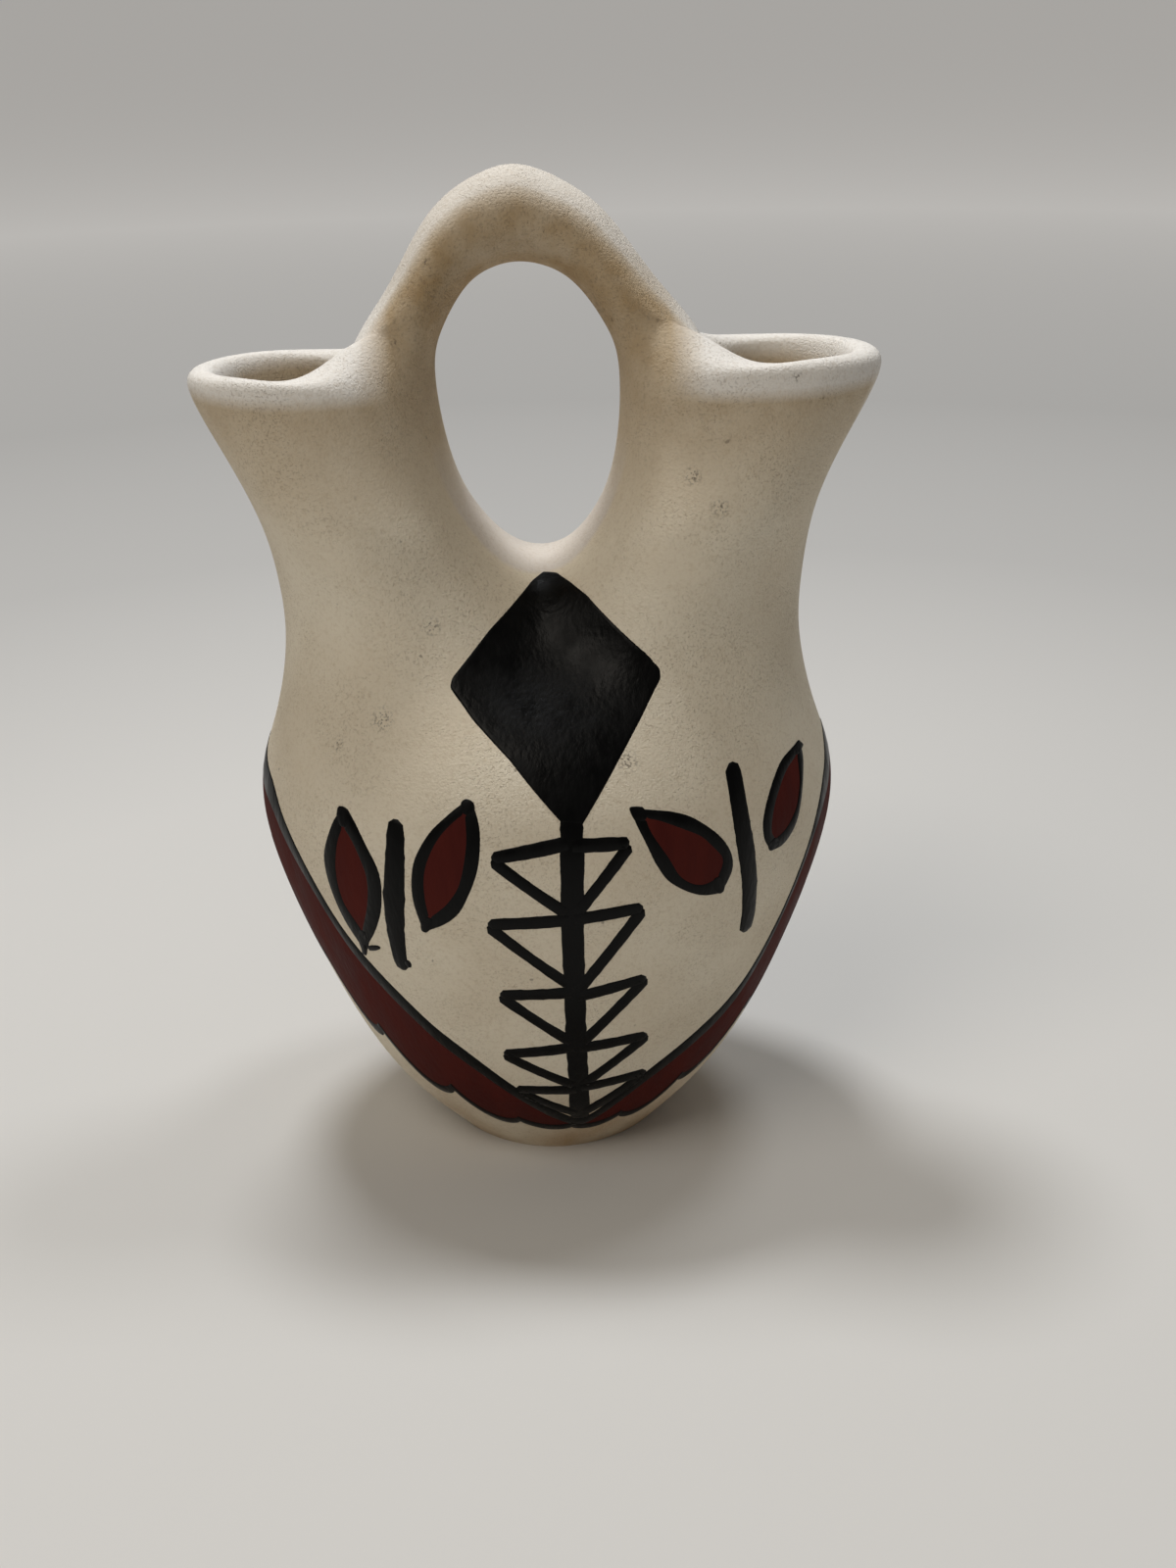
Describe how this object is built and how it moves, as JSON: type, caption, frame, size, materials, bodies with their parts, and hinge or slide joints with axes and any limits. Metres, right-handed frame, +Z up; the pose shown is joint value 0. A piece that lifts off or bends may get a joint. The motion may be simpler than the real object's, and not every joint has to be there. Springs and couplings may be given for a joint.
{
  "type": "wedding vase",
  "caption": "Small hand-built ceramic wedding vase: rounded body whose neck parts into twin flaring spouts, joined over a gap by an arched handle. Holds water, sprigs or dried stems.",
  "frame": {"origin": "middle of the flat foot, on the surface the vase stands on", "axes": "+Z up, +X along the spouts to the right spout as seen from the painted front, -Y out of the painted front"},
  "size_m": [0.11, 0.0812, 0.1647],
  "materials": {
    "base_dish": "matte cream slip over low-fired clay",
    "belly_wall": "matte cream slip over low-fired clay",
    "shoulder": "matte cream slip over low-fired clay",
    "left_spout": "matte cream slip over low-fired clay",
    "right_spout": "matte cream slip over low-fired clay",
    "handle": "matte cream slip over low-fired clay"
  },
  "bodies": {
    "root": {"base_dish": "base_dish", "belly_wall": "belly_wall", "shoulder": "shoulder", "left_spout": "left_spout", "right_spout": "right_spout", "handle": "handle"}
  },
  "joints": []
}
